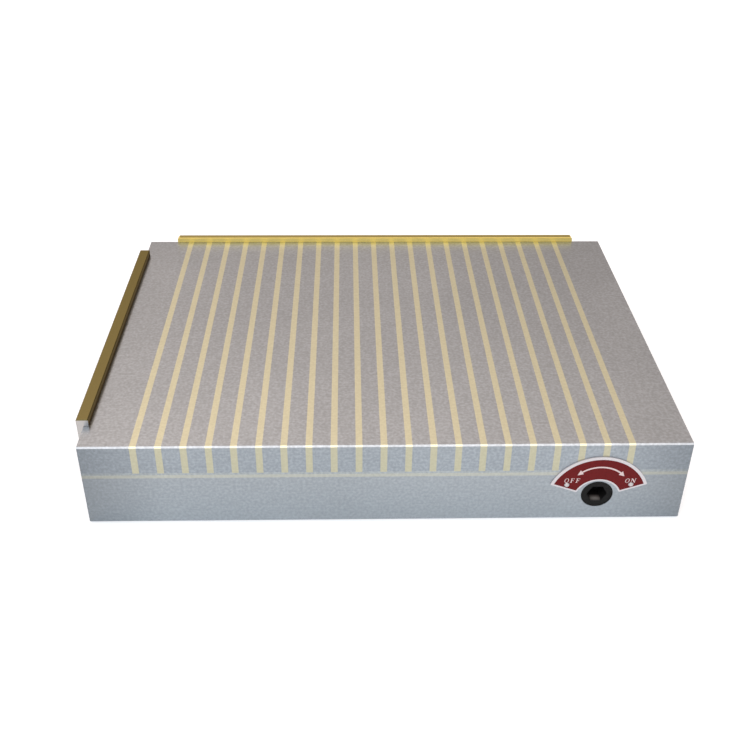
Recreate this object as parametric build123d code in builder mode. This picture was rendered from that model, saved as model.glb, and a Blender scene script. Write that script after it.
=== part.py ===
from build123d import *
from math import asin, degrees
import os

# Rectangular permanent magnetic chuck, in millimetres.
# X runs along the long front, Y from front to back, Z up.
# The origin is the middle of the base face. The key side faces -Y.

# Pole plate: steel poles parted by brass strips
STRIP_COUNT = 21
POLE_PITCH = 16.2
STRIP_WIDTH = 4.4
POLE_SHIFT = -2.25           # middle of the pole pattern, from the middle of the chuck
PLATE_THICKNESS = 23.0
PLATE_WEB = 1.5              # steel left under each strip
EDGE_CHAMFER = 1.0           # along the front

# Housing, seam and base
CHUCK_DEPTH = 300.0
SIDE_WALL = 24.0             # front and back
END_WALL = 20.0              # left and right
SEAM_THICKNESS = 2.5
FOOT_CHAMFER = 0.6
BASE_THICKNESS = 6.0
BASE_RECESS = 0.5            # the base plate's face lies this far inside the foot
BASE_LEDGE = 9.0             # width of the step that the base plate is screwed to

# Slots in the end faces for table clamps
CLAMP_SLOT_LENGTH = 220.0
CLAMP_SLOT_HEIGHT = 10.0
CLAMP_SLOT_DEPTH = 9.0
CLAMP_SLOT_CENTRE = 15.0     # height above the base

# Sliding magnet core
TRAY_END_BAR = 7.6
TRAY_SIDE_BAR = 22.0
TRAY_FLOOR = 3.0
MAGNET_DROP = 2.0            # magnets end this far below the irons
MAGNETS_PER_ROW = 4
MAGNET_BOND = 0.2            # glue line between the blocks of a row
SLIDE_STRIP_WIDTH = 14.0
SLIDE_STRIP_THICKNESS = 2.0
SLIDE_STRIP_STAND = 1.5      # height of the strips above the base plate

# Crank shaft and its bearing
SHAFT_FROM_END = 58.5
SHAFT_DIAMETER = 21.4
SHAFT_RECESS = 0.4           # shaft end behind the front face
SHAFT_FLOOR = 1.8            # steel left under the bush, down to the base plate
SHAFT_COVER = 3.7            # steel left over the bush, up to the seam
HEX_ACROSS_FLATS = 12.0
HEX_DEPTH = 12.0
BUSH_WALL = 2.0
SEAL_LAND = 7.0              # plain bore in front of the bush
SEAL_FROM_FRONT = 4.6        # front wall of the seal's groove
SEAL_WIDTH = 1.8
SEAL_GROOVE_DEPTH = 1.75
PIN_DIAMETER = 11.0
DRIVE_BUSH_WALL = 2.0
DRIVE_BUSH_LENGTH = 14.0

# Screw that ends the shaft's turn
STOP_SCREW_SIZE = 6.0
STOP_SCREW_SINK = 0.8
DOG_DIAMETER = 4.5
DOG_GROOVE_DEPTH = 2.0
CRANK_TURN = 180.0

# Work stops
BACK_LIP_HEIGHT = 4.4
BACK_LIP_OVERHANG = 1.2
END_LIP_HEIGHT = 5.3
END_LIP_OVERHANG = 3.4
LEG_THICKNESS = 4.5
LEG_LENGTH = 22.5            # below the working face
STOP_LIFT = 5.0
STOP_SLOT_FOOT = 3.2         # leg left under the slots
STOP_EDGE = 0.5
BACK_STOP_INSET = 23.8       # from each end of the chuck
BACK_STOP_CORNER = 1.5
END_STOP_FRONT_INSET = 23.0
END_STOP_BACK_INSET = 27.0
WASHER_DIAMETER = 10.0
WASHER_THICKNESS = 1.0

# Dial plate over the key hole
DIAL_INNER_RADIUS = 15.1
DIAL_OUTER_RADIUS = 34.6
DIAL_DROP = 2.85             # centre of its arcs below the shaft's axis
DIAL_START = 19.9            # degrees above level at each end
DIAL_THICKNESS = 0.8
DIAL_CORNER = 0.8
RIVET_SPREAD = 24.5          # from the centre of the dial's arcs
RIVET_ANGLE = 28.8
RIVET_SHANK = 2.0
RIVET_HEAD = 3.4
RIVET_HEAD_HEIGHT = 0.9
RIVET_LENGTH = 5.0

# Screws
CAP_SCREW_SIZE = 6.0
CAP_SCREW_GRIP = 10.0        # length held in the tapped hole
CAP_SCREW_SINK = 1.5         # heads below the base face
STOP_BOLT_SIZE = 5.0
STOP_BOLT_HEAD = 3.5         # low heads
BASE_SCREW_SIZE = 4.0
BASE_SCREW_GRIP = 8.0
TAP_SPARE = 2.0              # tapped depth beyond the screw
HEAD_RATIO = 5 / 6           # cap head radius to screw size

# Clearances
CORE_CLEARANCE = 0.5
CORE_GAP = 0.3               # under the pole plate
SLIDE_GAP = 0.1
RUNNING_CLEARANCE = 0.05     # on the radius, round turning pieces
THREAD_CLEARANCE = 0.05      # on the radius, round screws in tapped holes
SCREW_CLEARANCE = 0.3        # on the radius, round screws passing through
HEAD_CLEARANCE = 0.5         # on the radius, round sunk screw heads
BASE_FIT = 0.1
STOP_GAP = 0.1
DRIVE_CLEARANCE = 1.2        # each side of the drive bush in its slot

# Crank shaft and heights
BORE_DIAMETER = SHAFT_DIAMETER + 2 * RUNNING_CLEARANCE
BUSH_DIAMETER = BORE_DIAMETER + 2 * BUSH_WALL
DRIVE_BUSH_BORE = PIN_DIAMETER + 2 * RUNNING_CLEARANCE
DRIVE_BUSH_DIAMETER = DRIVE_BUSH_BORE + 2 * DRIVE_BUSH_WALL
GROOVE_RADIUS = SHAFT_DIAMETER / 2 - DOG_GROOVE_DEPTH
BASE_TOP = BASE_RECESS + BASE_THICKNESS
SHAFT_Z = BASE_TOP + SHAFT_FLOOR + BUSH_DIAMETER / 2
HOUSING_HEIGHT = SHAFT_Z + BUSH_DIAMETER / 2 + SHAFT_COVER
PLATE_BOTTOM = HOUSING_HEIGHT + SEAM_THICKNESS
WORK_FACE = PLATE_BOTTOM + PLATE_THICKNESS
STRIP_DEPTH = PLATE_THICKNESS - PLATE_WEB
STOP_SLOT_WIDTH = STOP_BOLT_SIZE + 2 * SCREW_CLEARANCE
STOP_BOLT_Z = WORK_FACE - LEG_LENGTH + STOP_SLOT_FOOT + STOP_SLOT_WIDTH / 2 + STOP_LIFT

# Core
CORE_TRAVEL = POLE_PITCH / 2
CRANK_THROW = CORE_TRAVEL / 2
IRON_WIDTH = POLE_PITCH / 2
MAGNET_WIDTH = POLE_PITCH - IRON_WIDTH
PACK_HALF_LENGTH = (STRIP_COUNT - 1) / 2 * POLE_PITCH + IRON_WIDTH / 2
TRAY_HALF_LENGTH = PACK_HALF_LENGTH + TRAY_END_BAR
TRAY_BOTTOM = BASE_TOP + SLIDE_STRIP_STAND + SLIDE_GAP
CORE_TOP = PLATE_BOTTOM - CORE_GAP
PACK_HEIGHT = CORE_TOP - TRAY_BOTTOM - TRAY_FLOOR

# Plan
CAVITY_HALF_LENGTH = TRAY_HALF_LENGTH + CORE_TRAVEL / 2 + abs(POLE_SHIFT + CORE_TRAVEL / 2) + CORE_CLEARANCE
HALF_LENGTH = CAVITY_HALF_LENGTH + END_WALL
HALF_DEPTH = CHUCK_DEPTH / 2
CAVITY_HALF_DEPTH = HALF_DEPTH - SIDE_WALL
TRAY_HALF_DEPTH = CAVITY_HALF_DEPTH - CORE_CLEARANCE
PACK_HALF_DEPTH = TRAY_HALF_DEPTH - TRAY_SIDE_BAR
FOOT_WIDTH = SIDE_WALL - BASE_LEDGE

# Places along the crank shaft, from the front face
SHAFT_X = HALF_LENGTH - SHAFT_FROM_END
JOURNAL_END = SIDE_WALL - CORE_CLEARANCE
DRIVE_START = SIDE_WALL + CORE_CLEARANCE
DRIVE_END = DRIVE_START + DRIVE_BUSH_LENGTH
DRIVE_SLOT_END = DRIVE_END + CORE_CLEARANCE
DOG_FROM_FRONT = SEAL_LAND + (FOOT_WIDTH - SEAL_LAND) / 2

# Planes that face out of the front, the back, the left end and the base
FRONT = Plane.XZ.offset(HALF_DEPTH)
BACK = Plane(origin=(0, HALF_DEPTH, 0), x_dir=(-1, 0, 0), z_dir=(0, 1, 0))
LEFT = Plane(origin=(-HALF_LENGTH, 0, 0), x_dir=(0, -1, 0), z_dir=(-1, 0, 0))
BASE = Plane(origin=(0, 0, 0), x_dir=(1, 0, 0), z_dir=(0, 0, -1))
SHAFT_AT = (SHAFT_X, SHAFT_Z)
DIAL_AT = (SHAFT_X, SHAFT_Z - DIAL_DROP)

# Screw places, on the plane that each group enters by
END_STEP = STRIP_COUNT / 2 + 1
POLE_ROW = [POLE_SHIFT + step * POLE_PITCH for step in (-END_STEP, -0.5, END_STEP)]
POLE_SCREW_LINE = HALF_DEPTH - FOOT_WIDTH / 2
PLATE_SCREW_POINTS = [(x, side * POLE_SCREW_LINE) for x in POLE_ROW for side in (-1, 1)]
LEDGE_X = CAVITY_HALF_LENGTH + BASE_LEDGE * 0.36
LEDGE_Y = CAVITY_HALF_DEPTH + BASE_LEDGE * 0.36
BASE_SCREW_POINTS = [(x * HALF_LENGTH, side * LEDGE_Y) for x in (-0.5, 0.5) for side in (-1, 1)]
BASE_SCREW_POINTS += [(side * LEDGE_X, 0) for side in (-1, 1)]
BACK_STOP_LENGTH = 2 * (HALF_LENGTH - BACK_STOP_INSET)
BACK_STOP_POLES = [POLE_SHIFT + step * POLE_PITCH for step in (-8.5, 0.5, 8.5)]
BACK_STOP_POINTS = [(-x, STOP_BOLT_Z) for x in BACK_STOP_POLES]
END_STOP_LENGTH = CHUCK_DEPTH - END_STOP_FRONT_INSET - END_STOP_BACK_INSET
END_STOP_MIDDLE = (END_STOP_FRONT_INSET - END_STOP_BACK_INSET) / 2
END_STOP_ROW = [END_STOP_MIDDLE + step * END_STOP_LENGTH for step in (-0.32, 0.32)]
END_STOP_POINTS = [(-y, STOP_BOLT_Z) for y in END_STOP_ROW]
STOP_OUTER = STOP_GAP + LEG_THICKNESS
WASHER_FACE = STOP_OUTER + STOP_GAP
HEAD_SEAT = WASHER_FACE + WASHER_THICKNESS
STOP_BOLT_LENGTH = HEAD_SEAT + CAP_SCREW_GRIP

os.makedirs("parts", exist_ok=True)


def save(piece, name):
    piece.part.label = name
    export_step(piece.part, f"parts/{name}.step")


def make_cap_screws(name, plane, points, size, head_height, length):
    """Socket head cap screws whose heads sit on the plane."""
    with BuildPart() as screws:
        with BuildSketch(plane):
            with Locations(*points):
                Circle(size / 2 - THREAD_CLEARANCE)
        extrude(amount=-length)
        with BuildSketch(plane):
            with Locations(*points):
                Circle(size * HEAD_RATIO)
        extrude(amount=head_height)
        with BuildSketch(plane.offset(head_height)):
            with Locations(*points):
                RegularPolygon(size * HEAD_RATIO / 2, 6, major_radius=False)
        extrude(amount=-head_height / 2, mode=Mode.SUBTRACT)
    save(screws, name)


def make_washers(name, plane, points):
    with BuildPart() as washers:
        with BuildSketch(plane):
            with Locations(*points):
                Circle(WASHER_DIAMETER / 2)
                Circle(STOP_BOLT_SIZE / 2 + SCREW_CLEARANCE, mode=Mode.SUBTRACT)
        extrude(amount=WASHER_THICKNESS)
    save(washers, name)


def stop_section(sign, lip_height, lip_overhang):
    """Angle section of a work stop: distance out from the side face, and height."""
    outline = [
        (-lip_overhang, WORK_FACE + STOP_GAP),
        (-lip_overhang, WORK_FACE + lip_height),
        (STOP_OUTER, WORK_FACE + lip_height),
        (STOP_OUTER, WORK_FACE - LEG_LENGTH),
        (STOP_GAP, WORK_FACE - LEG_LENGTH),
        (STOP_GAP, WORK_FACE + STOP_GAP),
    ]
    return [(sign * out, height) for out, height in outline]


# Housing: open box with a stepped floor opening, key bore and clamp slots
with BuildPart() as housing:
    with BuildSketch():
        Rectangle(2 * HALF_LENGTH, CHUCK_DEPTH)
    extrude(amount=HOUSING_HEIGHT)
    chamfer(housing.faces().sort_by(Axis.Z)[0].edges(), FOOT_CHAMFER)
    with BuildSketch():
        Rectangle(2 * CAVITY_HALF_LENGTH, 2 * CAVITY_HALF_DEPTH)
    extrude(amount=HOUSING_HEIGHT, mode=Mode.SUBTRACT)
    with BuildSketch():
        Rectangle(2 * (CAVITY_HALF_LENGTH + BASE_LEDGE), 2 * (CAVITY_HALF_DEPTH + BASE_LEDGE))
    extrude(amount=BASE_TOP, mode=Mode.SUBTRACT)
    for side in (-1, 1):
        with BuildSketch(Plane.YZ.offset(side * HALF_LENGTH)):
            with Locations((0, CLAMP_SLOT_CENTRE)):
                SlotOverall(CLAMP_SLOT_LENGTH, CLAMP_SLOT_HEIGHT)
        extrude(amount=-side * CLAMP_SLOT_DEPTH, mode=Mode.SUBTRACT)
    with BuildSketch(FRONT):
        with Locations(SHAFT_AT):
            Circle(BORE_DIAMETER / 2)
    extrude(amount=-SIDE_WALL, mode=Mode.SUBTRACT)
    with BuildSketch(FRONT.offset(-SEAL_LAND)):
        with Locations(SHAFT_AT):
            Circle(BUSH_DIAMETER / 2)
    extrude(amount=SEAL_LAND - SIDE_WALL, mode=Mode.SUBTRACT)
    with BuildSketch(BASE):
        with Locations((SHAFT_X, HALF_DEPTH - DOG_FROM_FRONT)):
            Circle(STOP_SCREW_SIZE / 2)
    extrude(amount=-SHAFT_Z, mode=Mode.SUBTRACT)
    with Locations(BASE):
        with Locations(*PLATE_SCREW_POINTS):
            CounterBoreHole(
                radius=CAP_SCREW_SIZE / 2 + SCREW_CLEARANCE,
                counter_bore_radius=CAP_SCREW_SIZE * HEAD_RATIO + HEAD_CLEARANCE,
                counter_bore_depth=CAP_SCREW_SINK + CAP_SCREW_SIZE,
            )
    with BuildSketch(BASE.offset(-BASE_TOP)):
        with Locations(*BASE_SCREW_POINTS):
            Circle(BASE_SCREW_SIZE / 2)
    extrude(amount=-BASE_SCREW_GRIP - TAP_SPARE, mode=Mode.SUBTRACT)
    with BuildSketch(FRONT):
        with Locations(DIAL_AT):
            with PolarLocations(RIVET_SPREAD, 2, RIVET_ANGLE, 180 - 2 * RIVET_ANGLE, endpoint=True):
                Circle(RIVET_SHANK / 2)
    extrude(amount=-RIVET_LENGTH, mode=Mode.SUBTRACT)
save(housing, "housing")

# Base plate with two shallow grooves for the slide strips
SLIDE_LINE = TRAY_HALF_DEPTH - TRAY_SIDE_BAR / 2
with BuildPart() as base_plate:
    with BuildSketch(Plane.XY.offset(BASE_RECESS)):
        Rectangle(
            2 * (CAVITY_HALF_LENGTH + BASE_LEDGE - BASE_FIT),
            2 * (CAVITY_HALF_DEPTH + BASE_LEDGE - BASE_FIT),
        )
    extrude(amount=BASE_THICKNESS)
    with BuildSketch(Plane.XY.offset(BASE_TOP)):
        with GridLocations(0, 2 * SLIDE_LINE, 1, 2):
            Rectangle(2 * TRAY_HALF_LENGTH, SLIDE_STRIP_WIDTH)
    extrude(amount=SLIDE_STRIP_STAND - SLIDE_STRIP_THICKNESS, mode=Mode.SUBTRACT)
    with Locations(BASE.offset(-BASE_RECESS)):
        with Locations(*BASE_SCREW_POINTS):
            CounterSinkHole(
                radius=BASE_SCREW_SIZE / 2 + SCREW_CLEARANCE,
                counter_sink_radius=BASE_SCREW_SIZE + SCREW_CLEARANCE,
                counter_sink_angle=90,
            )
save(base_plate, "base_plate")

# Bronze strips that carry the core
with BuildPart() as slide_strips:
    with BuildSketch(Plane.XY.offset(BASE_TOP + SLIDE_STRIP_STAND)):
        with GridLocations(0, 2 * SLIDE_LINE, 1, 2):
            Rectangle(2 * TRAY_HALF_LENGTH, SLIDE_STRIP_WIDTH)
    extrude(amount=-SLIDE_STRIP_THICKNESS)
save(slide_strips, "slide_strips")

# Countersunk screws of the base plate
with BuildPart() as base_plate_screws:
    with BuildSketch(BASE.offset(-BASE_RECESS - SCREW_CLEARANCE)):
        with Locations(*BASE_SCREW_POINTS):
            Circle(BASE_SCREW_SIZE)
    extrude(amount=-BASE_SCREW_SIZE / 2, taper=45)
    with BuildSketch(BASE.offset(-BASE_RECESS - SCREW_CLEARANCE)):
        with Locations(*BASE_SCREW_POINTS):
            Circle(BASE_SCREW_SIZE / 2 - THREAD_CLEARANCE)
    extrude(amount=-BASE_THICKNESS - BASE_SCREW_GRIP)
    with BuildSketch(BASE.offset(-BASE_RECESS - SCREW_CLEARANCE)):
        with Locations(*BASE_SCREW_POINTS):
            RegularPolygon(BASE_SCREW_SIZE * 5 / 16, 6, major_radius=False)
    extrude(amount=-BASE_SCREW_SIZE * 0.4, mode=Mode.SUBTRACT)
save(base_plate_screws, "base_plate_screws")

# Sealing frame between housing and pole plate
with BuildPart() as seam_seal:
    with BuildSketch(Plane.XY.offset(HOUSING_HEIGHT)):
        Rectangle(2 * HALF_LENGTH, CHUCK_DEPTH)
        Rectangle(2 * CAVITY_HALF_LENGTH, 2 * CAVITY_HALF_DEPTH, mode=Mode.SUBTRACT)
        with Locations(*PLATE_SCREW_POINTS):
            Circle(CAP_SCREW_SIZE / 2 + SCREW_CLEARANCE, mode=Mode.SUBTRACT)
    extrude(amount=SEAM_THICKNESS)
save(seam_seal, "seam_seal")

# Pole plate, slotted from the top
with BuildPart() as pole_plate:
    with BuildSketch(Plane.XY.offset(PLATE_BOTTOM)):
        Rectangle(2 * HALF_LENGTH, CHUCK_DEPTH)
    extrude(amount=PLATE_THICKNESS)
    chamfer(pole_plate.faces().sort_by(Axis.Z)[-1].edges().sort_by(Axis.Y)[0], EDGE_CHAMFER)
    with BuildSketch(Plane.XY.offset(WORK_FACE)):
        with Locations((POLE_SHIFT, 0)):
            with GridLocations(POLE_PITCH, 0, STRIP_COUNT, 1):
                Rectangle(STRIP_WIDTH, CHUCK_DEPTH)
    extrude(amount=-STRIP_DEPTH, mode=Mode.SUBTRACT)
    with BuildSketch(BASE.offset(-PLATE_BOTTOM)):
        with Locations(*PLATE_SCREW_POINTS):
            Circle(CAP_SCREW_SIZE / 2)
    extrude(amount=-CAP_SCREW_GRIP - TAP_SPARE, mode=Mode.SUBTRACT)
    with BuildSketch(BACK):
        with Locations(*BACK_STOP_POINTS):
            Circle(STOP_BOLT_SIZE / 2)
    extrude(amount=-CAP_SCREW_GRIP - TAP_SPARE, mode=Mode.SUBTRACT)
    with BuildSketch(LEFT):
        with Locations(*END_STOP_POINTS):
            Circle(STOP_BOLT_SIZE / 2)
    extrude(amount=-CAP_SCREW_GRIP - TAP_SPARE, mode=Mode.SUBTRACT)
save(pole_plate, "pole_plate")

# Brass strips, flush with the plate and bevelled with its front edge
for number in range(STRIP_COUNT):
    strip_x = POLE_SHIFT + (number - (STRIP_COUNT - 1) / 2) * POLE_PITCH
    with BuildPart() as brass_strip:
        with BuildSketch(Plane.YZ.offset(strip_x)) as strip_side:
            with Locations((0, WORK_FACE)):
                Rectangle(CHUCK_DEPTH, STRIP_DEPTH, align=(Align.CENTER, Align.MAX))
            chamfer(strip_side.vertices().group_by(Axis.Y)[-1].sort_by(Axis.X)[0], EDGE_CHAMFER)
        extrude(amount=STRIP_WIDTH / 2, both=True)
    save(brass_strip, f"brass_strip_{number + 1:02d}")

# Screws that hold the pole plate from below
HEAD_DEPTH = CAP_SCREW_SINK + CAP_SCREW_SIZE
PLATE_SCREW_LENGTH = PLATE_BOTTOM + CAP_SCREW_GRIP - HEAD_DEPTH
POLE_SCREW_HEADS = BASE.offset(-HEAD_DEPTH)
make_cap_screws(
    "pole_plate_screws", POLE_SCREW_HEADS, PLATE_SCREW_POINTS, CAP_SCREW_SIZE, CAP_SCREW_SIZE, PLATE_SCREW_LENGTH
)

# Back stop: brass angle with slotted leg
STOP_SLOT_HEIGHT = STOP_LIFT + STOP_SLOT_WIDTH
with BuildPart() as back_stop:
    with BuildSketch(Plane.YZ):
        with BuildLine():
            back_section = stop_section(1, BACK_LIP_HEIGHT, BACK_LIP_OVERHANG)
            Polyline([(HALF_DEPTH + out, height) for out, height in back_section], close=True)
        make_face()
    extrude(amount=BACK_STOP_LENGTH / 2, both=True)
    with BuildSketch(BACK.offset(STOP_OUTER)):
        with Locations(*[(x, y - STOP_LIFT / 2) for x, y in BACK_STOP_POINTS]):
            SlotOverall(STOP_SLOT_HEIGHT, STOP_SLOT_WIDTH, rotation=90)
    extrude(amount=-LEG_THICKNESS, mode=Mode.SUBTRACT)
    chamfer(back_stop.edges().filter_by(Axis.Y).group_by(Axis.Z)[-1], BACK_STOP_CORNER)
    chamfer(back_stop.faces().sort_by(Axis.Z)[-1].edges().filter_by(Axis.X), STOP_EDGE)
save(back_stop, "back_stop")
make_washers("back_stop_washers", BACK.offset(WASHER_FACE), BACK_STOP_POINTS)
make_cap_screws(
    "back_stop_screws", BACK.offset(HEAD_SEAT), BACK_STOP_POINTS, STOP_BOLT_SIZE, STOP_BOLT_HEAD, STOP_BOLT_LENGTH
)

# End stop: a like angle along the left side, with a wider lip
with BuildPart() as end_stop:
    with BuildSketch(Plane.XZ.offset(-END_STOP_MIDDLE)):
        with BuildLine():
            end_section = stop_section(-1, END_LIP_HEIGHT, END_LIP_OVERHANG)
            Polyline([(out - HALF_LENGTH, height) for out, height in end_section], close=True)
        make_face()
    extrude(amount=END_STOP_LENGTH / 2, both=True)
    with BuildSketch(LEFT.offset(STOP_OUTER)):
        with Locations(*[(x, y - STOP_LIFT / 2) for x, y in END_STOP_POINTS]):
            SlotOverall(STOP_SLOT_HEIGHT, STOP_SLOT_WIDTH, rotation=90)
    extrude(amount=-LEG_THICKNESS, mode=Mode.SUBTRACT)
    chamfer(end_stop.faces().sort_by(Axis.Z)[-1].edges(), STOP_EDGE)
save(end_stop, "end_stop")
make_washers("end_stop_washers", LEFT.offset(WASHER_FACE), END_STOP_POINTS)
make_cap_screws(
    "end_stop_screws", LEFT.offset(HEAD_SEAT), END_STOP_POINTS, STOP_BOLT_SIZE, STOP_BOLT_HEAD, STOP_BOLT_LENGTH
)

# Dial plate: ring sector over the key hole
with BuildPart() as dial_plate:
    with BuildSketch(FRONT) as dial_outline:
        with BuildLine():
            outer = CenterArc(DIAL_AT, DIAL_OUTER_RADIUS, DIAL_START, 180 - 2 * DIAL_START)
            inner = CenterArc(DIAL_AT, DIAL_INNER_RADIUS, DIAL_START, 180 - 2 * DIAL_START)
            Line(outer @ 0, inner @ 0)
            Line(outer @ 1, inner @ 1)
        make_face()
        fillet(dial_outline.vertices(), DIAL_CORNER)
        with Locations(DIAL_AT):
            with PolarLocations(RIVET_SPREAD, 2, RIVET_ANGLE, 180 - 2 * RIVET_ANGLE, endpoint=True):
                Circle(RIVET_SHANK / 2, mode=Mode.SUBTRACT)
    extrude(amount=DIAL_THICKNESS)
save(dial_plate, "dial_plate")

# Rivets of the dial plate
with BuildPart() as dial_rivets:
    with BuildSketch(FRONT.offset(DIAL_THICKNESS)):
        with Locations(DIAL_AT):
            with PolarLocations(RIVET_SPREAD, 2, RIVET_ANGLE, 180 - 2 * RIVET_ANGLE, endpoint=True):
                Circle(RIVET_HEAD / 2)
    extrude(amount=RIVET_HEAD_HEIGHT)
    chamfer(dial_rivets.faces().sort_by(Axis.Y)[:2].edges(), RIVET_HEAD_HEIGHT * 0.6)
    with BuildSketch(FRONT.offset(DIAL_THICKNESS)):
        with Locations(DIAL_AT):
            with PolarLocations(RIVET_SPREAD, 2, RIVET_ANGLE, 180 - 2 * RIVET_ANGLE, endpoint=True):
                Circle(RIVET_SHANK / 2 - THREAD_CLEARANCE)
    extrude(amount=-DIAL_THICKNESS - RIVET_LENGTH)
save(dial_rivets, "dial_rivets")

# Crank shaft: socket end, seal groove, half-turn groove and eccentric pin
GROOVE_HALF_ANGLE = CRANK_TURN / 2 + degrees(asin((DOG_DIAMETER / 2 + SCREW_CLEARANCE) / GROOVE_RADIUS))
with BuildPart() as crank_shaft:
    with BuildSketch(FRONT.offset(-SHAFT_RECESS)):
        with Locations(SHAFT_AT):
            Circle(SHAFT_DIAMETER / 2)
    extrude(amount=SHAFT_RECESS - JOURNAL_END)
    with BuildSketch(FRONT.offset(-JOURNAL_END)):
        with Locations((SHAFT_X - CRANK_THROW, SHAFT_Z)):
            Circle(PIN_DIAMETER / 2)
    extrude(amount=JOURNAL_END - DRIVE_END)
    with BuildSketch(FRONT.offset(-SHAFT_RECESS)):
        with Locations(SHAFT_AT):
            RegularPolygon(HEX_ACROSS_FLATS / 2, 6, major_radius=False)
    extrude(amount=-HEX_DEPTH, mode=Mode.SUBTRACT)
    with BuildSketch(FRONT.offset(-SEAL_FROM_FRONT)):
        with Locations(SHAFT_AT):
            Circle(SHAFT_DIAMETER / 2)
            Circle(SHAFT_DIAMETER / 2 - SEAL_GROOVE_DEPTH, mode=Mode.SUBTRACT)
    extrude(amount=-SEAL_WIDTH - 2 * RUNNING_CLEARANCE, mode=Mode.SUBTRACT)
    with BuildSketch(FRONT.offset(-DOG_FROM_FRONT)):
        with BuildLine():
            rim = CenterArc(SHAFT_AT, SHAFT_DIAMETER / 2, -GROOVE_HALF_ANGLE, 2 * GROOVE_HALF_ANGLE)
            floor = CenterArc(SHAFT_AT, GROOVE_RADIUS, -GROOVE_HALF_ANGLE, 2 * GROOVE_HALF_ANGLE)
            Line(rim @ 0, floor @ 0)
            Line(rim @ 1, floor @ 1)
        make_face()
    extrude(amount=DOG_DIAMETER / 2 + SCREW_CLEARANCE, both=True, mode=Mode.SUBTRACT)
save(crank_shaft, "crank_shaft")

# Rubber ring in the shaft's seal groove
with BuildPart() as shaft_seal:
    with BuildSketch(FRONT.offset(-SEAL_FROM_FRONT - RUNNING_CLEARANCE)):
        with Locations(SHAFT_AT):
            Circle(SHAFT_DIAMETER / 2)
            Circle(SHAFT_DIAMETER / 2 - SEAL_GROOVE_DEPTH + RUNNING_CLEARANCE, mode=Mode.SUBTRACT)
    extrude(amount=-SEAL_WIDTH)
save(shaft_seal, "shaft_seal")

# Bronze bush pressed in behind the seal land
with BuildPart() as shaft_bush:
    with BuildSketch(FRONT.offset(-SEAL_LAND)):
        with Locations(SHAFT_AT):
            Circle(BUSH_DIAMETER / 2)
            Circle(BORE_DIAMETER / 2, mode=Mode.SUBTRACT)
    extrude(amount=SEAL_LAND - SIDE_WALL)
    with BuildSketch(BASE):
        with Locations((SHAFT_X, HALF_DEPTH - DOG_FROM_FRONT)):
            Circle(DOG_DIAMETER / 2 + THREAD_CLEARANCE)
    extrude(amount=-SHAFT_Z, mode=Mode.SUBTRACT)
save(shaft_bush, "shaft_bush")

# Dog-point screw: its tip runs in the shaft's half-turn groove
DOG_TIP = SHAFT_Z - GROOVE_RADIUS - SCREW_CLEARANCE
DOG_SHOULDER = SHAFT_Z - BUSH_DIAMETER / 2 - SCREW_CLEARANCE
with BuildPart() as stop_screw:
    with BuildSketch(BASE.offset(-STOP_SCREW_SINK)):
        with Locations((SHAFT_X, HALF_DEPTH - DOG_FROM_FRONT)):
            Circle(STOP_SCREW_SIZE / 2 - THREAD_CLEARANCE)
    extrude(amount=STOP_SCREW_SINK - DOG_SHOULDER)
    with BuildSketch(BASE.offset(-DOG_SHOULDER)):
        with Locations((SHAFT_X, HALF_DEPTH - DOG_FROM_FRONT)):
            Circle(DOG_DIAMETER / 2)
    extrude(amount=DOG_SHOULDER - DOG_TIP)
    with BuildSketch(BASE.offset(-STOP_SCREW_SINK)):
        with Locations((SHAFT_X, HALF_DEPTH - DOG_FROM_FRONT)):
            RegularPolygon(STOP_SCREW_SIZE / 4, 6, major_radius=False)
    extrude(amount=-STOP_SCREW_SIZE / 2, mode=Mode.SUBTRACT)
save(stop_screw, "stop_screw")

# Bronze bush on the eccentric pin
with BuildPart() as drive_bush:
    with BuildSketch(FRONT.offset(-DRIVE_START)):
        with Locations((SHAFT_X - CRANK_THROW, SHAFT_Z)):
            Circle(DRIVE_BUSH_DIAMETER / 2)
            Circle(DRIVE_BUSH_BORE / 2, mode=Mode.SUBTRACT)
    extrude(amount=-DRIVE_BUSH_LENGTH)
save(drive_bush, "drive_bush")

# Core tray: floor, four walls and the upright drive slot in its front wall
with BuildPart() as core_tray:
    with BuildSketch(Plane.XY.offset(TRAY_BOTTOM)):
        with Locations((POLE_SHIFT, 0)):
            Rectangle(2 * TRAY_HALF_LENGTH, 2 * TRAY_HALF_DEPTH)
    extrude(amount=CORE_TOP - TRAY_BOTTOM)
    with BuildSketch(Plane.XY.offset(CORE_TOP)):
        with Locations((POLE_SHIFT, 0)):
            Rectangle(2 * PACK_HALF_LENGTH, 2 * PACK_HALF_DEPTH)
    extrude(amount=-PACK_HEIGHT, mode=Mode.SUBTRACT)
    with BuildSketch(FRONT.offset(-SIDE_WALL)):
        with Locations((SHAFT_X - CRANK_THROW, SHAFT_Z + CRANK_THROW / 2)):
            SlotCenterToCenter(CRANK_THROW, DRIVE_BUSH_DIAMETER + 2 * DRIVE_CLEARANCE, rotation=90)
    extrude(amount=SIDE_WALL - DRIVE_SLOT_END, mode=Mode.SUBTRACT)
save(core_tray, "core_tray")

# Iron bars of the core, one under each brass strip when switched off
with BuildPart() as core_irons:
    with BuildSketch(Plane.XY.offset(CORE_TOP)):
        with Locations((POLE_SHIFT, 0)):
            with GridLocations(POLE_PITCH, 0, STRIP_COUNT, 1):
                Rectangle(IRON_WIDTH, 2 * PACK_HALF_DEPTH)
    extrude(amount=-PACK_HEIGHT)
save(core_irons, "core_irons")

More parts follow.
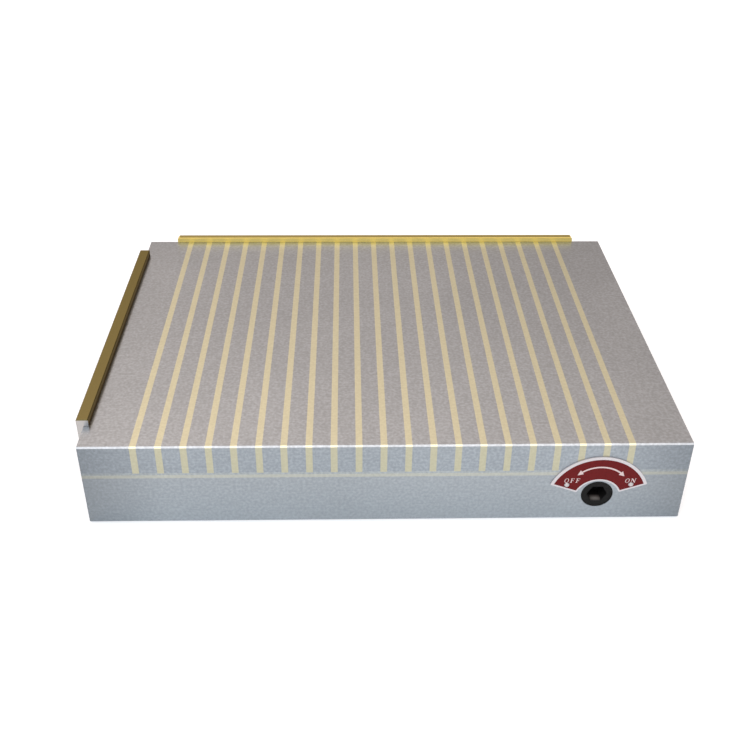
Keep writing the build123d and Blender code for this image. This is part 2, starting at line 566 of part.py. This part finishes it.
# Magnet blocks between the bars
MAGNET_LENGTH = 2 * PACK_HALF_DEPTH / MAGNETS_PER_ROW
with BuildPart() as core_magnets:
    for row in range(MAGNETS_PER_ROW):
        row_y = (row - (MAGNETS_PER_ROW - 1) / 2) * MAGNET_LENGTH
        with BuildSketch(Plane.XY.offset(CORE_TOP - MAGNET_DROP)):
            with Locations((POLE_SHIFT, row_y)):
                with GridLocations(POLE_PITCH, 0, STRIP_COUNT - 1, 1):
                    Rectangle(MAGNET_WIDTH, MAGNET_LENGTH - MAGNET_BOND)
        extrude(amount=MAGNET_DROP - PACK_HEIGHT)
save(core_magnets, "core_magnets")
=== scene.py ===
from math import asin, cos, degrees, pi, radians, sin

import bpy
from mathutils import Matrix, Vector


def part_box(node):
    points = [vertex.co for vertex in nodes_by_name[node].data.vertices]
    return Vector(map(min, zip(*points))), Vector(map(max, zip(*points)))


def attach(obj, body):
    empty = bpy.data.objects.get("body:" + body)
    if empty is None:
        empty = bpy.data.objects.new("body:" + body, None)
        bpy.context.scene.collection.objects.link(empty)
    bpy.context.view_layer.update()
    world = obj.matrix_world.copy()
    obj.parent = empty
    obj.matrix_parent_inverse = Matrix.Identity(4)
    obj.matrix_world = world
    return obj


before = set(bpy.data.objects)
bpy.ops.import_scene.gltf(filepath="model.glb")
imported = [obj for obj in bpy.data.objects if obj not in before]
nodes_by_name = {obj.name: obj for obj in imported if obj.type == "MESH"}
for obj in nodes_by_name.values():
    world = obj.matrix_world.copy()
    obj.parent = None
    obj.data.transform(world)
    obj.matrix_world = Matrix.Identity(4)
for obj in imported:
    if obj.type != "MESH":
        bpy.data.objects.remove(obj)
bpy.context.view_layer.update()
scene = bpy.context.scene
MM = 0.001

# Places and sizes of the CAD pieces, in metres
shaft_low, shaft_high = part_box("crank_shaft")
AXIS_X = (shaft_low[0] + shaft_high[0]) / 2
AXIS_Z = (shaft_low[2] + shaft_high[2]) / 2
SHAFT_FACE = shaft_low[1]
HEX_CORNER_RADIUS = 7.0 * MM
dial_low, dial_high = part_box("dial_plate")
DIAL_RADIUS = 34.6 * MM
DIAL_X = (dial_low[0] + dial_high[0]) / 2
DIAL_Z = dial_high[2] - DIAL_RADIUS
DIAL_FACE = dial_low[1]
PLATE_FOOT, PLATE_TOP = (corner[2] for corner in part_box("pole_plate"))
HALF_LENGTH, HALF_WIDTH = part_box("housing")[1].xy


# Node helpers

# How far noise is drawn out along the axes, and the ranges in which most of it lies
EVEN = (1, 1, 1)
ALONG_X = (0.04, 1, 1)
ALONG_Y = (1, 0.04, 1)
TONE_LOW, TONE_HIGH = 0.3, 0.7
GLOSS_LOW, GLOSS_HIGH = 0.25, 0.75

# Least component of a normal on faces that look along an axis, and its square
LOOKING = 0.85
FACING_SQUARE = 0.72


def new_material(name):
    material = bpy.data.materials.new(name)
    material.use_nodes = True
    tree = material.node_tree
    return material, tree, tree.nodes["Principled BSDF"]


def feed(tree, socket, value):
    """Links an output to an input socket, or sets a plain value on it."""
    if isinstance(value, bpy.types.NodeSocket):
        tree.links.new(value, socket)
    else:
        socket.default_value = value


def calculate(tree, operation, first, second):
    """Math node on outputs or numbers."""
    node = tree.nodes.new("ShaderNodeMath")
    node.operation = operation
    feed(tree, node.inputs[0], first)
    feed(tree, node.inputs[1], second)
    return node.outputs[0]


def product(tree, first, *others):
    for other in others:
        first = calculate(tree, "MULTIPLY", first, other)
    return first


def mix(tree, factor, first, second, kind="MIX"):
    """Blend of two colours; the factor and the colours are outputs or plain values."""
    node = tree.nodes.new("ShaderNodeMix")
    node.data_type = "RGBA"
    node.blend_type = kind
    for name, value in (("Factor", factor), ("A", first), ("B", second)):
        feed(tree, node.inputs[name], value)
    return node.outputs["Result"]


def map_range(tree, value, low, high, first, last):
    """Goes from first to last as the value goes from low to high, and stays level beyond."""
    node = tree.nodes.new("ShaderNodeMapRange")
    limits = {"From Min": low, "From Max": high, "To Min": first, "To Max": last}
    for name, limit in limits.items():
        node.inputs[name].default_value = limit
    tree.links.new(value, node.inputs["Value"])
    return node.outputs["Result"]


def fade(tree, value, full, none):
    """1 where the value is at full, falling to 0 where it is at none."""
    return map_range(tree, value, full, none, 1.0, 0.0)


def own(tree, output, axis):
    """One component of the object's own coordinates or directions."""
    place = tree.nodes.new("ShaderNodeTexCoord")
    split = tree.nodes.new("ShaderNodeSeparateXYZ")
    tree.links.new(place.outputs[output], split.inputs["Vector"])
    return split.outputs[axis]


def looking(tree, axis, limit=LOOKING):
    """1 on faces that look up the axis."""
    return calculate(tree, "GREATER_THAN", own(tree, "Normal", axis), limit)


def facing(tree, axis):
    """1 on faces that look along the axis, either way."""
    along = own(tree, "Normal", axis)
    return calculate(tree, "GREATER_THAN", product(tree, along, along), FACING_SQUARE)


def object_noise(tree, stretch, scale, detail, roughness=0.55):
    """Noise in the object's own coordinates, in metres, drawn out along the axes by stretch."""
    place = tree.nodes.new("ShaderNodeTexCoord")
    mapping = tree.nodes.new("ShaderNodeMapping")
    mapping.inputs["Scale"].default_value = stretch
    noise = tree.nodes.new("ShaderNodeTexNoise")
    noise.inputs["Scale"].default_value = scale
    noise.inputs["Detail"].default_value = detail
    noise.inputs["Roughness"].default_value = roughness
    tree.links.new(place.outputs["Object"], mapping.inputs["Vector"])
    tree.links.new(mapping.outputs["Vector"], noise.inputs["Vector"])
    return noise.outputs["Fac"]


def noise_ramp(tree, noise, *colours):
    """Colours at even steps over the range of a noise."""
    node = tree.nodes.new("ShaderNodeValToRGB")
    elements = node.color_ramp.elements
    elements[0].position, elements[0].color = TONE_LOW, (*colours[0], 1)
    elements[1].position, elements[1].color = TONE_HIGH, (*colours[-1], 1)
    step = (TONE_HIGH - TONE_LOW) / (len(colours) - 1)
    for count, colour in enumerate(colours[1:-1], 1):
        elements.new(TONE_LOW + step * count).color = (*colour, 1)
    tree.links.new(noise, node.inputs["Fac"])
    return node.outputs["Color"]


def tone(colour, factor):
    return tuple(channel * factor for channel in colour)


def grey(level):
    return (level, level, level)


def uneven_tone(tree, noise, colour, spread):
    return noise_ramp(tree, noise, tone(colour, 1 - spread), tone(colour, 1 + spread))


def uneven_gloss(tree, shader, noise, rough, spread):
    low, high = rough * (1 - spread), rough * (1 + spread)
    gloss = map_range(tree, noise, GLOSS_LOW, GLOSS_HIGH, low, high)
    tree.links.new(gloss, shader.inputs["Roughness"])


def masked(tree, shader, shade, mask, colour, kind="MIX"):
    """Shows another colour, or the shade multiplied by it, where the mask is 1."""
    shade = mix(tree, mask, shade, (*colour, 1), kind)
    tree.links.new(shade, shader.inputs["Base Color"])
    return shade


# Kinds of finish

PATCH_SCALE = 9.0
MARKS_PER_GRAIN = 2.5
MARK_DEPTH = 0.05 * MM
COAT_UNEVEN = 0.1

# Shares of a metal's spread of tone in its patches and marks, and in the dark of its speckle
SOFT_SHARE = 0.35
DARK_SHARE = 0.8


def metal(name, colour, rough, spread, stretch, grain, bump, uneven=0.15):
    """Worked metal: patches of tone, a fine speckle, marks drawn out by stretch, uneven gloss."""
    material, tree, shader = new_material(name)
    patches = object_noise(tree, EVEN, PATCH_SCALE, 1.0)
    speckle = object_noise(tree, EVEN, grain, 1.0, 0.5)
    marks = object_noise(tree, stretch, grain * MARKS_PER_GRAIN, 2.0)
    soft = spread * SOFT_SHARE
    wide = uneven_tone(tree, patches, colour, soft)
    dark = spread * DARK_SHARE
    fine = noise_ramp(tree, speckle, grey(1 - dark), grey(1), grey(1 + spread))
    lines = uneven_tone(tree, marks, grey(1), soft)
    shade = mix(tree, 1.0, mix(tree, 1.0, wide, fine, "MULTIPLY"), lines, "MULTIPLY")
    tree.links.new(shade, shader.inputs["Base Color"])
    uneven_gloss(tree, shader, speckle, rough, uneven)
    shader.inputs["Metallic"].default_value = 1.0
    lift = tree.nodes.new("ShaderNodeBump")
    lift.inputs["Strength"].default_value = bump
    lift.inputs["Distance"].default_value = MARK_DEPTH
    tree.links.new(marks, lift.inputs["Height"])
    tree.links.new(lift.outputs["Normal"], shader.inputs["Normal"])
    return material, tree, shader, shade


# Least upward component of the normals of a top and its chamfers
TOP_AND_CHAMFERS = 0.6
# How far in from each end, and by how much, the front and back of a ground metal are darkened
DARKENED_END_LENGTH = 52 * MM
END_DARKENING = (0.68, 0.69, 0.70)
EDGE_SHINE = (1.17, 1.15, 1.09)


def ground(name, colour, spread, painted_top_light, darkened_ends=False, bright_below=None):
    """Surface-ground metal, with painted light making its top and chamfers brighter than its
    sides, its marks along X drawing reflections out.

    With the fifth argument set, its front and back are darker towards their ends. Below the height
    bright_below, where one is given, they are brighter.
    """
    material, tree, shader, shade = metal(
        name, colour, 0.3, spread, ALONG_X, grain=520.0, bump=0.02, uneven=0.03
    )
    upward = looking(tree, "Z", TOP_AND_CHAMFERS)
    # Painted light: faces that look up, the chamfers among them, are made brighter than the sides
    # of the same metal
    shade = masked(tree, shader, shade, upward, painted_top_light, "MULTIPLY")
    if darkened_ends:
        off_middle = calculate(tree, "POWER", own(tree, "Object", "X"), 2.0)
        near_end = fade(tree, off_middle, HALF_LENGTH ** 2, (HALF_LENGTH - DARKENED_END_LENGTH) ** 2)
        ends = product(tree, facing(tree, "Y"), near_end)
        shade = masked(tree, shader, shade, ends, END_DARKENING, "MULTIPLY")
    if bright_below:
        low = calculate(tree, "LESS_THAN", own(tree, "Object", "Z"), bright_below)
        edge = product(tree, facing(tree, "Y"), low)
        masked(tree, shader, shade, edge, EDGE_SHINE, "MULTIPLY")
    across = tree.nodes.new("ShaderNodeTangent")
    across.direction_type = "RADIAL"
    across.axis = "X"
    tree.links.new(across.outputs["Tangent"], shader.inputs["Tangent"])
    shader.inputs["Anisotropic"].default_value = 0.6
    return material


def coat(name, colour, rough, spread, grain, gloss):
    """Paint, enamel or rubber with a slight unevenness of tone and gloss."""
    material, tree, shader = new_material(name)
    patches = object_noise(tree, EVEN, grain, 3.0)
    shade = uneven_tone(tree, patches, colour, spread)
    tree.links.new(shade, shader.inputs["Base Color"])
    uneven_gloss(tree, shader, patches, rough, COAT_UNEVEN)
    shader.inputs["Specular IOR Level"].default_value = gloss
    return material, tree, shader, shade


# Finishes of the pieces

# Painted light: how much brighter each ground metal is made on its top and chamfers
STEEL_PAINTED_TOP_LIGHT = (1.78, 1.84, 1.87)
PLATE_PAINTED_TOP_LIGHT = (1.424, 1.474, 1.512)
STRIP_PAINTED_TOP_LIGHT = (1.54, 1.66, 1.73)
PLATE_EDGE = PLATE_FOOT + 1.8 * MM

# Ground metals: colour, spread of tone, painted light on top, whether front and back darken
# towards their ends, height of a bright edge
steel = ground("ground_steel", (0.327, 0.361, 0.389), 0.11, STEEL_PAINTED_TOP_LIGHT, True)
pole_steel = ground("pole_steel", (0.30, 0.337, 0.371), 0.14, PLATE_PAINTED_TOP_LIGHT, True, PLATE_EDGE)
strip_brass = ground("strip_brass", (0.462, 0.452, 0.332), 0.05, STRIP_PAINTED_TOP_LIGHT)
seam_brass = ground("seam_brass", (0.428, 0.444, 0.406), 0.07, STEEL_PAINTED_TOP_LIGHT, True)

# Other metals: colour, roughness, spread of tone, run of the marks, grain, bump
mild = metal("mild_steel", (0.34, 0.34, 0.34), 0.45, 0.08, ALONG_X, 700.0, 0.1)[0]
black_steel = metal("black_steel", (0.03, 0.03, 0.032), 0.42, 0.15, EVEN, 900.0, 0.1)[0]
rivet_steel = metal("rivet_steel", (0.52, 0.50, 0.50), 0.4, 0.05, EVEN, 900.0, 0.05)[0]
bright = metal("bright_steel", (0.78, 0.78, 0.79), 0.35, 0.05, EVEN, 900.0, 0.05)[0]
bronze = metal("bronze", (0.42, 0.25, 0.12), 0.35, 0.08, EVEN, 900.0, 0.08)[0]
aluminium = metal("core_aluminium", (0.62, 0.62, 0.63), 0.4, 0.05, ALONG_X, 900.0, 0.08)[0]
magnet = metal("magnet", (0.06, 0.06, 0.065), 0.55, 0.15, EVEN, 600.0, 0.1)[0]

# Coats: colour, roughness, spread of tone, grain, gloss
rubber = coat("seal_rubber", (0.018, 0.018, 0.018), 0.6, 0.15, 400.0, 0.5)[0]
dial_metal = coat("dial_metal", (0.58, 0.56, 0.575), 0.5, 0.04, 900.0, 0.3)[0]
red_enamel = coat("red_enamel", (0.123, 0.0058, 0.0067), 0.45, 0.12, 700.0, 0.12)[0]
print_white = coat("print_white", (0.62, 0.50, 0.49), 0.5, 0.06, 900.0, 0.3)[0]


def back_stop_finish():
    """Half metallic brass, with painted shade making its top darker than its front; its outer side
    is darker too.
    """
    material, tree, shader, shade = metal(
        "stop_brass", (0.80, 0.60, 0.165), 0.35, 0.06, ALONG_X, 900.0, 0.08
    )
    shader.inputs["Metallic"].default_value = 0.5
    # Painted shade: the top is given a darker brass than the front
    shade = masked(tree, shader, shade, facing(tree, "Z"), (0.38, 0.31, 0.08))
    # The outer side is given a darker brass as well
    masked(tree, shader, shade, looking(tree, "Y"), (0.36, 0.285, 0.11))
    return material


def end_stop_finish():
    """Brass toned dark, with painted light on its top and inner side, painted shade darkest at the
    inner foot, and bare ends.
    """
    material, tree, shader, shade = metal(
        "dark_brass", (0.14, 0.125, 0.056), 0.4, 0.08, ALONG_Y, 900.0, 0.08
    )
    shader.inputs["Specular Tint"].default_value = (0.5, 0.45, 0.4, 1)
    inner_side = looking(tree, "X")
    # Painted light: the inner side is given a lighter brown than the rest of the stop
    shade = masked(tree, shader, shade, inner_side, (0.36, 0.29, 0.145))
    # Painted shade: the inner side darkens where it meets the plate
    height = own(tree, "Object", "Z")
    near_plate = fade(tree, height, PLATE_TOP + 1.2 * MM, PLATE_TOP + 3.0 * MM)
    foot = product(tree, inner_side, near_plate)
    shade = masked(tree, shader, shade, foot, (0.12, 0.085, 0.04))
    shade = masked(tree, shader, shade, facing(tree, "Y"), (0.48, 0.47, 0.46))
    # Painted light: the top is given a lighter brown than the sides
    masked(tree, shader, shade, facing(tree, "Z"), (0.265, 0.235, 0.1))
    return material


def square_from(tree, axis, middle):
    """Square of the distance along the axis from a place on it."""
    distance = calculate(tree, "SUBTRACT", own(tree, "Object", axis), middle)
    return calculate(tree, "POWER", distance, 2.0)


def shaft_finish():
    """Blacked, with a painted patch of light on the lowest flat of the key socket that fades out
    all round.
    """
    half_width = 4.5 * MM
    mouth = SHAFT_FACE - 1.0 * MM
    most_lit_depth = SHAFT_FACE + 2.5 * MM
    inner_end = SHAFT_FACE + 6.5 * MM
    material, tree, shader, shade = coat(
        "black_shaft", (0.009, 0.009, 0.0088), 0.6, 0.35, 900.0, 0.1
    )
    across = square_from(tree, "X", AXIS_X)
    from_axis = calculate(tree, "ADD", across, square_from(tree, "Z", AXIS_Z))
    in_socket = calculate(tree, "LESS_THAN", from_axis, HEX_CORNER_RADIUS ** 2)
    near_middle = fade(tree, across, 0.0, half_width ** 2)
    upward = fade(tree, own(tree, "Normal", "Z"), 1.0, 0.35)
    along = own(tree, "Object", "Y")
    inward = fade(tree, along, most_lit_depth, inner_end)
    outward = fade(tree, along, most_lit_depth, mouth)
    # Painted light: the lowest flats near the socket's mouth are made pale where light enters,
    # fading to black deeper in
    painted_socket_light = product(tree, in_socket, near_middle, upward, inward, outward)
    masked(tree, shader, shade, painted_socket_light, (0.28, 0.27, 0.26))
    return material


finish_of = {
    "housing": steel, "pole_plate": pole_steel, "base_plate": mild, "core_irons": mild,
    "base_plate_screws": black_steel, "pole_plate_screws": black_steel,
    "back_stop_screws": black_steel, "end_stop_screws": black_steel, "stop_screw": black_steel,
    "back_stop_washers": bright, "end_stop_washers": bright, "dial_rivets": rivet_steel,
    "back_stop": back_stop_finish(), "end_stop": end_stop_finish(), "seam_seal": seam_brass,
    "dial_plate": dial_metal, "crank_shaft": shaft_finish(), "shaft_seal": rubber,
    "shaft_bush": bronze, "drive_bush": bronze, "slide_strips": bronze,
    "core_tray": aluminium, "core_magnets": magnet,
}
for name, node in nodes_by_name.items():
    finish = strip_brass if name.startswith("brass_strip") else finish_of[name]
    node.data.materials.clear()
    node.data.materials.append(finish)


# Printed face of the dial, drawn about the centre of its arcs in millimetres and degrees

PRINT_THICKNESS = 0.04
FIELD_LIFT = 0.02
SIGN_LIFT = 0.045
DIAL_END = 19.9
CAP = 3.6
SLANT = 0.15
OFF_BASE = 13.5
ON_BASE = 13.1


def printed(name, outlines, material, lift):
    """Flat closed outlines as thin solids on the dial's face; one inside another is a hole."""
    curve = bpy.data.curves.new(name, "CURVE")
    curve.dimensions = "2D"
    curve.fill_mode = "BOTH"
    curve.extrude = PRINT_THICKNESS / 2 * MM
    for outline in outlines:
        spline = curve.splines.new("POLY")
        spline.points.add(len(outline) - 1)
        for point, (x, z) in zip(spline.points, outline):
            point.co = (x * MM, z * MM, 0, 1)
        spline.use_cyclic_u = True
    drawn = bpy.data.objects.new(name + "_outline", curve)
    scene.collection.objects.link(drawn)
    bpy.context.view_layer.update()
    evaluated = drawn.evaluated_get(bpy.context.evaluated_depsgraph_get())
    mesh = bpy.data.meshes.new_from_object(evaluated)
    bpy.data.objects.remove(drawn)
    bpy.data.curves.remove(curve)
    mesh.name = name
    upright = Matrix.Rotation(pi / 2, 4, "X")
    mesh.transform(Matrix.Translation((DIAL_X, DIAL_FACE - lift * MM, DIAL_Z)) @ upright)
    mesh.materials.clear()
    mesh.materials.append(material)
    piece = bpy.data.objects.new(name, mesh)
    scene.collection.objects.link(piece)
    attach(piece, "chuck_body")


def polar(radius, angle):
    return (radius * cos(radians(angle)), radius * sin(radians(angle)))


def arc(radius, start, end, steps=48):
    turn = (end - start) / steps
    return [polar(radius, start + turn * i) for i in range(steps + 1)]


def sector(inner, outer, margin):
    """Ring sector that keeps a margin from the dial's two straight ends."""
    far = DIAL_END + degrees(asin(margin / outer))
    near = DIAL_END + degrees(asin(margin / inner))
    return arc(outer, far, 180 - far) + arc(inner, 180 - near, near)


def double_arrow(rise, radius, start, end, line, head):
    """Arc with a head at each end, as one outline struck from rise above the dial's centre."""
    sweep = degrees(head / radius)
    first, last = start + sweep, end - sweep
    low, high = radius - head / 2, radius + head / 2
    right_head = [polar(low, first), polar(radius, start), polar(high, first)]
    outside = arc(radius + line / 2, first, last, 32)
    left_head = [polar(high, last), polar(radius, end), polar(low, last)]
    inside = arc(radius - line / 2, last, first, 32)
    return [(x, z + rise) for x, z in right_head + outside + left_head + inside]


def ellipse(centre, across, high, steps=28):
    turns = [2 * pi * step / steps for step in range(steps)]
    return [(centre[0] + across * cos(turn), centre[1] + high * sin(turn)) for turn in turns]


# Serif capitals as outlines in units of their height
LETTERS = {
    "O": [ellipse((0.42, 0.5), 0.4, 0.52), ellipse((0.42, 0.5), 0.26, 0.45)],
    "F": [[
        (0.04, 0), (0.46, 0), (0.46, 0.05), (0.34, 0.08), (0.34, 0.47), (0.52, 0.47),
        (0.55, 0.36), (0.6, 0.36), (0.6, 0.64), (0.55, 0.64), (0.52, 0.54), (0.34, 0.54),
        (0.34, 0.94), (0.62, 0.94), (0.68, 0.78), (0.73, 0.78), (0.72, 1), (0.04, 1),
        (0.04, 0.95), (0.17, 0.92), (0.17, 0.08), (0.04, 0.05),
    ]],
    "N": [[
        (0, 0), (0.28, 0), (0.28, 0.05), (0.18, 0.08), (0.18, 0.78), (0.74, 0), (0.83, 0),
        (0.83, 0.92), (0.94, 0.95), (0.94, 1), (0.65, 1), (0.65, 0.95), (0.75, 0.92),
        (0.75, 0.3), (0.26, 1), (0, 1), (0, 0.95), (0.1, 0.92), (0.1, 0.08), (0, 0.05),
    ]],
}


def letter(character, left, base):
    return [
        [(left + (x + SLANT * z) * CAP, base + z * CAP) for x, z in outline]
        for outline in LETTERS[character]
    ]


word_off = letter("O", -23.7, OFF_BASE)
for left in (-19.9, -16.2):
    word_off += letter("F", left, OFF_BASE)
word_on = letter("O", 17.0, ON_BASE) + letter("N", 20.8, ON_BASE)
arrow = double_arrow(rise=5.4, radius=20.9, start=39.4, end=136.8, line=1.15, head=3.9)
printed("dial_field", [sector(inner=16.2, outer=32.5, margin=1.25)], red_enamel, FIELD_LIFT)
printed("dial_arrow", [arrow], print_white, SIGN_LIFT)
printed("dial_words", word_off + word_on, print_white, SIGN_LIFT)


# Floor, open where the chuck stands on it, so that its underside can be looked at

FLOOR_HEIGHT = -0.3 * MM
FLOOR_REACH = 6.0
OPENING_MARGIN = 2 * MM


def floor_finish():
    """Pale, matt and faintly lit through from above, clear from below."""
    material, tree, shader = new_material("pale_floor")
    patches = object_noise(tree, EVEN, 1.5, 2.0)
    pale = noise_ramp(tree, patches, (0.915, 0.955, 0.975), (0.93, 0.97, 0.985))
    tree.links.new(pale, shader.inputs["Base Color"])
    shader.inputs["Roughness"].default_value = 0.9
    shader.inputs["Specular IOR Level"].default_value = 0.0
    shader.inputs["Emission Color"].default_value = (0.97, 0.97, 0.99, 1)
    shader.inputs["Emission Strength"].default_value = 0.34
    side = tree.nodes.new("ShaderNodeNewGeometry")
    clear = tree.nodes.new("ShaderNodeBsdfTransparent")
    either = tree.nodes.new("ShaderNodeMixShader")
    tree.links.new(side.outputs["Backfacing"], either.inputs["Fac"])
    tree.links.new(shader.outputs["BSDF"], either.inputs[1])
    tree.links.new(clear.outputs["BSDF"], either.inputs[2])
    tree.links.new(either.outputs["Shader"], tree.nodes["Material Output"].inputs["Surface"])
    return material


def corners(x, y):
    return [(i * x, j * y, FLOOR_HEIGHT) for i, j in ((-1, -1), (1, -1), (1, 1), (-1, 1))]


rim = corners(FLOOR_REACH, FLOOR_REACH)
opening = corners(HALF_LENGTH - OPENING_MARGIN, HALF_WIDTH - OPENING_MARGIN)
sides = [(0, 1, 5, 4), (1, 2, 6, 5), (2, 3, 7, 6), (3, 0, 4, 7)]
floor_mesh = bpy.data.meshes.new("floor")
floor_mesh.from_pydata(rim + opening, [], sides)
floor_mesh.materials.append(floor_finish())
floor = bpy.data.objects.new("floor", floor_mesh)
scene.collection.objects.link(floor)


# Studio surroundings by direction: cool in front and dimmer upward, warm behind and brighter
# upward, dimmer to the right, pale all round the horizon

world = bpy.data.worlds.new("studio")
world.use_nodes = True
scene.world = world
sky_tree = world.node_tree
sky = sky_tree.nodes["Background"]
FRONT, BACK = -0.2, 0.5
HORIZON_LOW, HORIZON_HIGH = 0.1, 0.17


def sky_ramp(axis, low, high, first, last):
    return map_range(sky_tree, own(sky_tree, "Generated", axis), low, high, first, last)


behind = sky_ramp("Y", FRONT, BACK, 0.0, 1.0)
before = sky_ramp("Y", FRONT, BACK, 1.0, 0.0)
hue = mix(sky_tree, behind, (0.90, 0.98, 1.07, 1), (1.33, 1.05, 0.895, 1))
brighter_upward = sky_ramp("Z", 0.25, 0.85, 0.05, 1.25)
dimmer_upward = sky_ramp("Z", 0.15, 0.6, 1.15, 0.75)
back_light = product(sky_tree, behind, brighter_upward)
front_light = product(sky_tree, before, dimmer_upward)
both = calculate(sky_tree, "ADD", back_light, front_light)
dimmer_right = sky_ramp("X", -0.4, 0.4, 1.18, 0.79)
above_horizon = sky_ramp("Z", HORIZON_LOW, HORIZON_HIGH, 0.0, 1.0)
upper = product(sky_tree, both, dimmer_right, above_horizon)
horizon = sky_ramp("Z", HORIZON_LOW, HORIZON_HIGH, 1.1, 0.0)
sky_tree.links.new(hue, sky.inputs["Color"])
sky_tree.links.new(calculate(sky_tree, "ADD", upper, horizon), sky.inputs["Strength"])


# Key light over the front, and the camera

def softbox(name, place, target, size, power, colour):
    light = bpy.data.lights.new(name, "AREA")
    light.shape = "RECTANGLE"
    light.size, light.size_y = size
    light.energy = power
    light.color = colour
    lamp = bpy.data.objects.new(name, light)
    aim = (Vector(target) - Vector(place)).to_track_quat("-Z", "Y").to_matrix().to_4x4()
    lamp.matrix_world = Matrix.Translation(place) @ aim
    scene.collection.objects.link(lamp)


softbox(
    "key", place=(0.1, -1.6, 1.95), target=(0.1, 0, 0), size=(2.4, 1.2), power=17,
    colour=(1.0, 0.77, 0.62),
)

CAMERA_PLACE = (-0.0250, -0.6640, 0.4573)
pitch, yaw, roll = radians(33.43), radians(1.81), radians(0.72)
camera_data = bpy.data.cameras.new("camera")
camera_data.sensor_width = 36.0
camera_data.lens = 48.05
camera_data.clip_end = 50.0
camera = bpy.data.objects.new("camera", camera_data)
forward = Vector((sin(yaw) * cos(pitch), cos(yaw) * cos(pitch), -sin(pitch)))
level = Vector((cos(yaw), -sin(yaw), 0))
above = level.cross(forward)
right = level * cos(roll) + above * sin(roll)
up = above * cos(roll) - level * sin(roll)
turned = Matrix((right, up, -forward)).transposed().to_4x4()
camera.matrix_world = Matrix.Translation(CAMERA_PLACE) @ turned
scene.collection.objects.link(camera)
scene.camera = camera
scene.view_settings.view_transform = "Standard"
